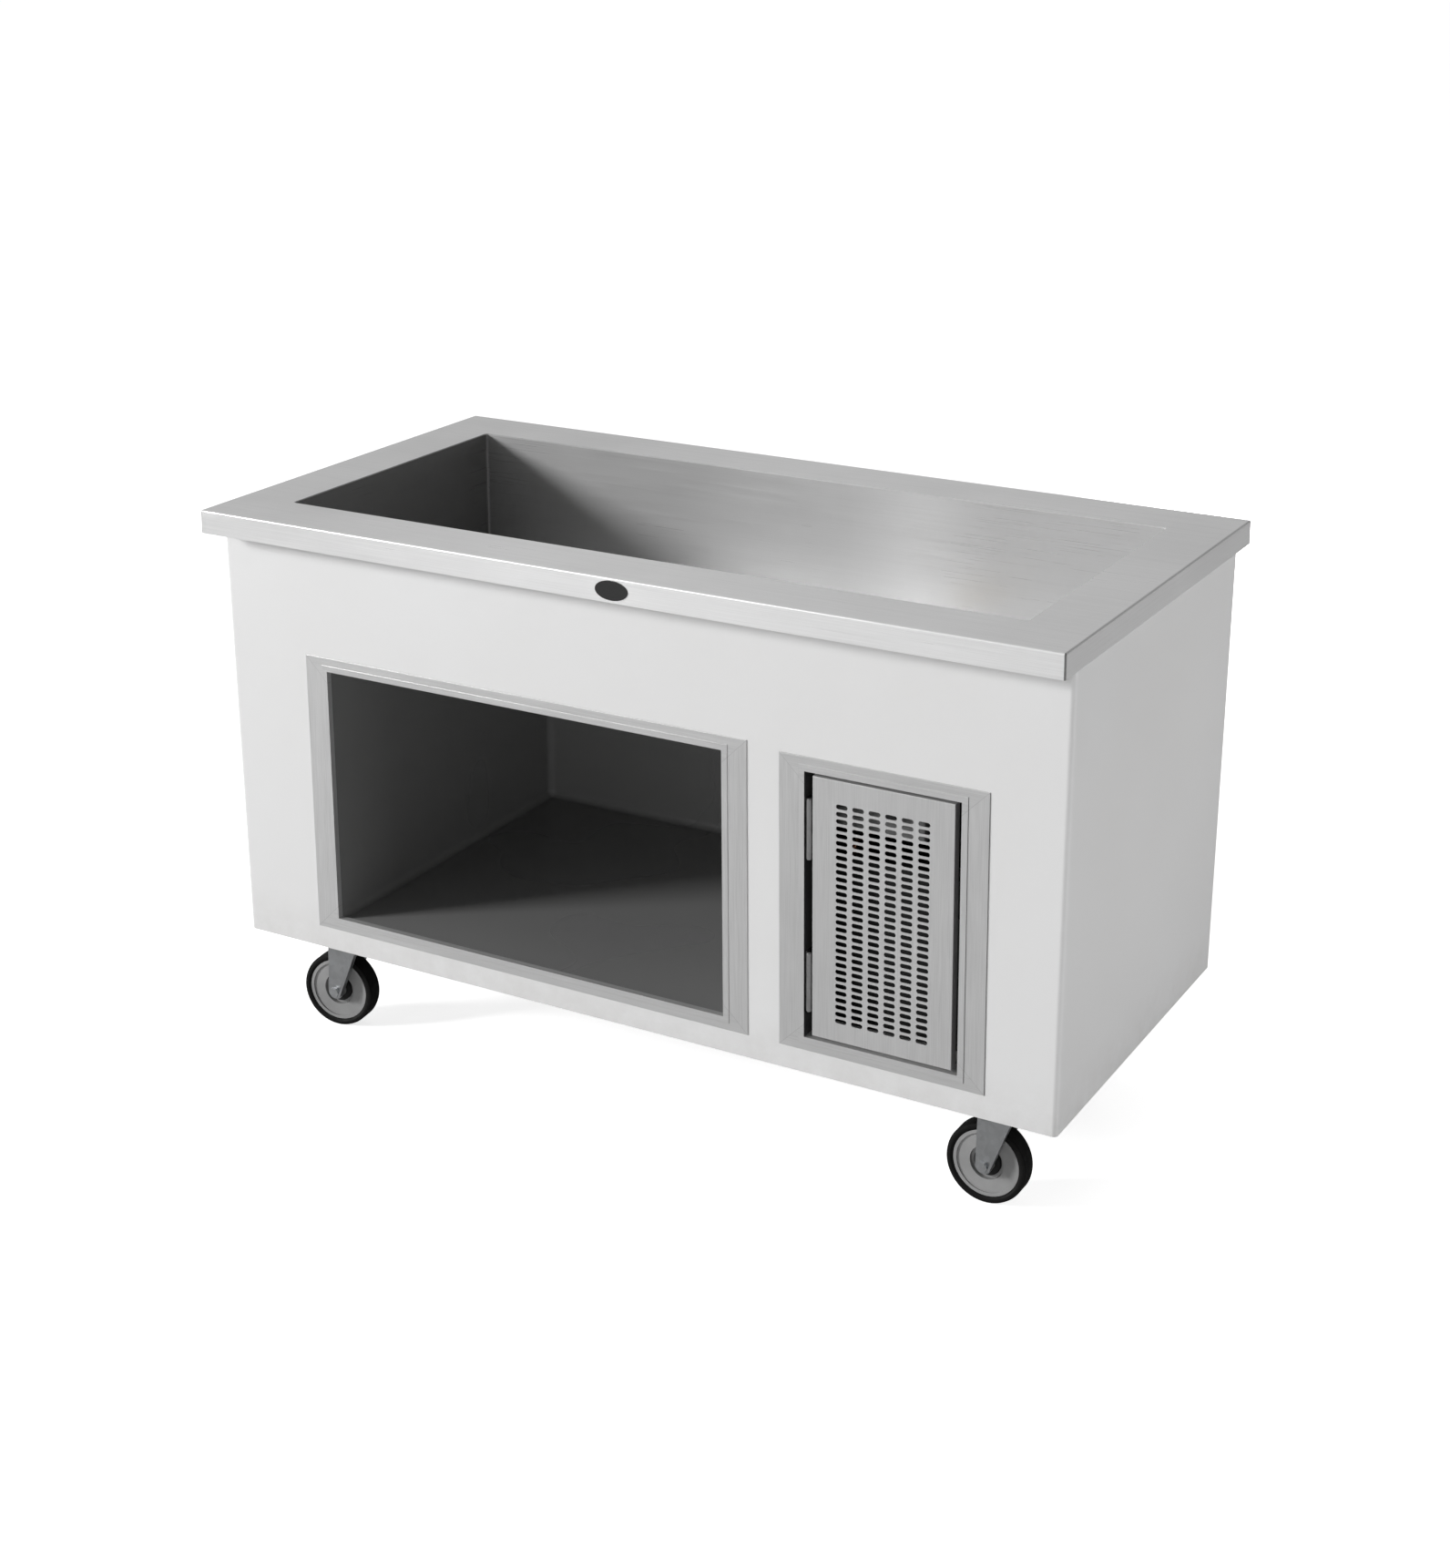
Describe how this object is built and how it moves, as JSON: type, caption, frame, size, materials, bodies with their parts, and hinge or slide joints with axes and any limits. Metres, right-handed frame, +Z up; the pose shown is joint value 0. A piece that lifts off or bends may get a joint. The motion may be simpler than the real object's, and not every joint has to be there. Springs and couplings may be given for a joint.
{
  "type": "mobile salad bar",
  "caption": "Stainless counter with a deep cold well on a pale moulded body with an open storage compartment, a slotted machine door and swivel casters.",
  "frame": {"origin": "on the floor under the middle of the counter", "axes": "+X to the right along the counter, +Y to the back, +Z up; the front is -Y"},
  "size_m": [1.473, 0.7628, 0.914],
  "materials": {
    "body_shell": "pale moulded shell, low gloss",
    "frame_paint": "dark grey paint",
    "galvanised": "zinc-coated sheet",
    "counter_steel": "brushed along the counter",
    "well_steel": "brushed sheet, deep drawn look",
    "trim_steel": "brushed along each side",
    "door_steel": "brushed sheet",
    "hinge_steel": "plain steel",
    "foam": "rigid foam",
    "copper": "copper tube",
    "brass": "turned brass",
    "zinc": "bright zinc plate",
    "caster_zinc": "zinc plate",
    "liner_moulding": "glossy dark moulding",
    "black_plastic": "black plastic",
    "badge_enamel": "bare black enamel",
    "black_paint": "black paint",
    "mount_rubber": "soft black rubber",
    "fins": "aluminium",
    "control_paint": "grey paint",
    "wheel_disc": "grey painted wheel",
    "tyre_rubber": "black rubber"
  },
  "bodies": {
    "cabinet": {"badge_plate": "badge_enamel", "base_frame": "frame_paint", "bottom_deck": "galvanised", "caster_bolts": "zinc", "caster_plate_front_left": "caster_zinc", "caster_plate_front_right": "caster_zinc", "caster_plate_rear_left": "caster_zinc", "caster_plate_rear_right": "caster_zinc", "compressor": "black_paint", "compressor_mounts": "mount_rubber", "condenser_coil": "fins", "control_box": "control_paint", "cord_gland": "black_plastic", "counter_top": "counter_steel", "door_magnet": "black_plastic", "drain_fitting": "brass", "drain_pipes": "copper", "drain_strainer": "counter_steel", "drain_valve": "brass", "evaporator_coil": "copper", "fan_motor": "black_paint", "fan_shroud": "galvanised", "front_panel": "body_shell", "hinge_frame_leaves": "hinge_steel", "hinge_pins": "hinge_steel", "left_end_panel": "body_shell", "liquid_receiver": "black_paint", "louvre_trim": "trim_steel", "rear_panel": "body_shell", "refrigerant_lines": "copper", "right_end_panel": "body_shell", "storage_liner": "liner_moulding", "storage_trim": "trim_steel", "unit_base": "galvanised", "well_casing": "galvanised", "well_insulation": "foam", "well_liner": "well_steel"},
    "door": {"louvre_door": "door_steel", "hinge_door_leaves": "hinge_steel"},
    "fan": {"fan_blade": "fins"},
    "drain_handle": {"drain_lever": "zinc"},
    "switch": {"power_switch": "black_plastic"},
    "knob": {"thermostat_knob": "black_plastic"},
    "swivel_front_left": {"caster_fork_front_left": "caster_zinc", "caster_axle_front_left": "zinc"},
    "wheel_front_left": {"caster_wheel_front_left": "wheel_disc", "caster_tyre_front_left": "tyre_rubber"},
    "swivel_front_right": {"caster_fork_front_right": "caster_zinc", "caster_axle_front_right": "zinc"},
    "wheel_front_right": {"caster_wheel_front_right": "wheel_disc", "caster_tyre_front_right": "tyre_rubber"},
    "swivel_rear_left": {"caster_fork_rear_left": "caster_zinc", "caster_axle_rear_left": "zinc"},
    "wheel_rear_left": {"caster_wheel_rear_left": "wheel_disc", "caster_tyre_rear_left": "tyre_rubber"},
    "swivel_rear_right": {"caster_fork_rear_right": "caster_zinc", "caster_axle_rear_right": "zinc"},
    "wheel_rear_right": {"caster_wheel_rear_right": "wheel_disc", "caster_tyre_rear_right": "tyre_rubber"}
  },
  "joints": [
    {"name": "door_hinge", "type": "hinge", "parent": "cabinet", "child": "door", "pos_m": [0.3289, -0.32092, 0.17702], "axis": [0, 0.0137, -0.9999], "range_deg": [0, 120]},
    {"name": "fan_spin", "type": "hinge", "parent": "cabinet", "child": "fan", "pos_m": [0.48, -0.225, 0.3852], "axis": [0, 1, 0], "continuous": true},
    {"name": "drain_valve_turn", "type": "hinge", "parent": "cabinet", "child": "drain_handle", "pos_m": [0.27, 0.15, 0.365], "axis": [0, 1, 0], "range_deg": [0, 90]},
    {"name": "power_rocker", "type": "hinge", "parent": "cabinet", "child": "switch", "pos_m": [0.38, -0.284, 0.6118], "axis": [1, 0, 0], "range_deg": [0, 20]},
    {"name": "thermostat_turn", "type": "hinge", "parent": "cabinet", "child": "knob", "pos_m": [0.445, -0.288, 0.6118], "axis": [0, 1, 0], "range_deg": [0, 270]},
    {"name": "swivel_turn_front_left", "type": "hinge", "parent": "cabinet", "child": "swivel_front_left", "pos_m": [-0.568, -0.234, 0.15085], "axis": [0, 0, 1], "continuous": true},
    {"name": "wheel_spin_front_left", "type": "hinge", "parent": "swivel_front_left", "child": "wheel_front_left", "pos_m": [-0.60274, -0.23827, 0.0635], "axis": [-0.1219, 0.9925, 0], "continuous": true},
    {"name": "swivel_turn_front_right", "type": "hinge", "parent": "cabinet", "child": "swivel_front_right", "pos_m": [0.62, -0.234, 0.15085], "axis": [0, 0, 1], "continuous": true},
    {"name": "wheel_spin_front_right", "type": "hinge", "parent": "swivel_front_right", "child": "wheel_front_right", "pos_m": [0.585, -0.234, 0.0635], "axis": [0, 1, 0], "continuous": true},
    {"name": "swivel_turn_rear_left", "type": "hinge", "parent": "cabinet", "child": "swivel_rear_left", "pos_m": [-0.55, 0.234, 0.15085], "axis": [0, 0, 1], "continuous": true},
    {"name": "wheel_spin_rear_left", "type": "hinge", "parent": "swivel_rear_left", "child": "wheel_rear_left", "pos_m": [-0.58457, 0.23947, 0.0635], "axis": [0.1564, 0.9877, 0], "continuous": true},
    {"name": "swivel_turn_rear_right", "type": "hinge", "parent": "cabinet", "child": "swivel_rear_right", "pos_m": [0.55, 0.234, 0.15085], "axis": [0, 0, 1], "continuous": true},
    {"name": "wheel_spin_rear_right", "type": "hinge", "parent": "swivel_rear_right", "child": "wheel_rear_right", "pos_m": [0.51509, 0.23156, 0.0635], "axis": [-0.0698, 0.9976, 0], "continuous": true}
  ]
}
